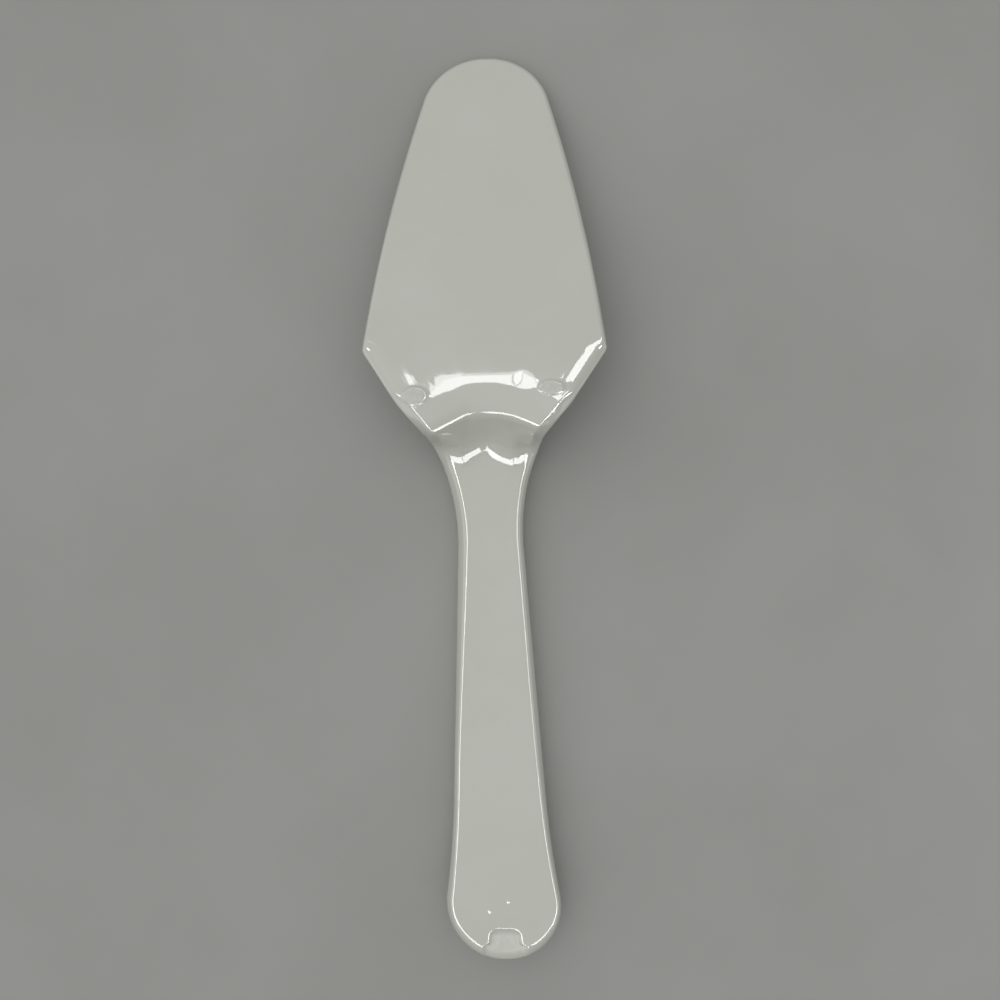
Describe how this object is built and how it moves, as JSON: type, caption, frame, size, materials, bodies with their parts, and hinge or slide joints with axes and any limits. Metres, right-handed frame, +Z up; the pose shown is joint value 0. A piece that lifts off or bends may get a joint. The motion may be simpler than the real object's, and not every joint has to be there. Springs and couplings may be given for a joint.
{
  "type": "cake server",
  "caption": "China cake server lying underside up: flat tapering blade with a round nose, steep neck, long flaring handle, bare oval feet and a notched end.",
  "frame": {"origin": "under the middle of the length and width, on the surface that the server lies on with its serving face down", "axes": "+Y along the length towards the blade's tip, +X across, +Z up out of the underside"},
  "size_m": [0.068, 0.26, 0.0249],
  "materials": {
    "glazed_china": "clear gloss glaze over greyish white bone china",
    "slip": "fired slip, hidden inside the neck under the glaze",
    "bare_china": "matte, ground, without glaze"
  },
  "bodies": {
    "root": {"blade": "glazed_china", "handle": "glazed_china", "neck_slip": "slip", "left_foot": "bare_china", "right_foot": "bare_china", "end_rest": "bare_china"}
  },
  "joints": []
}
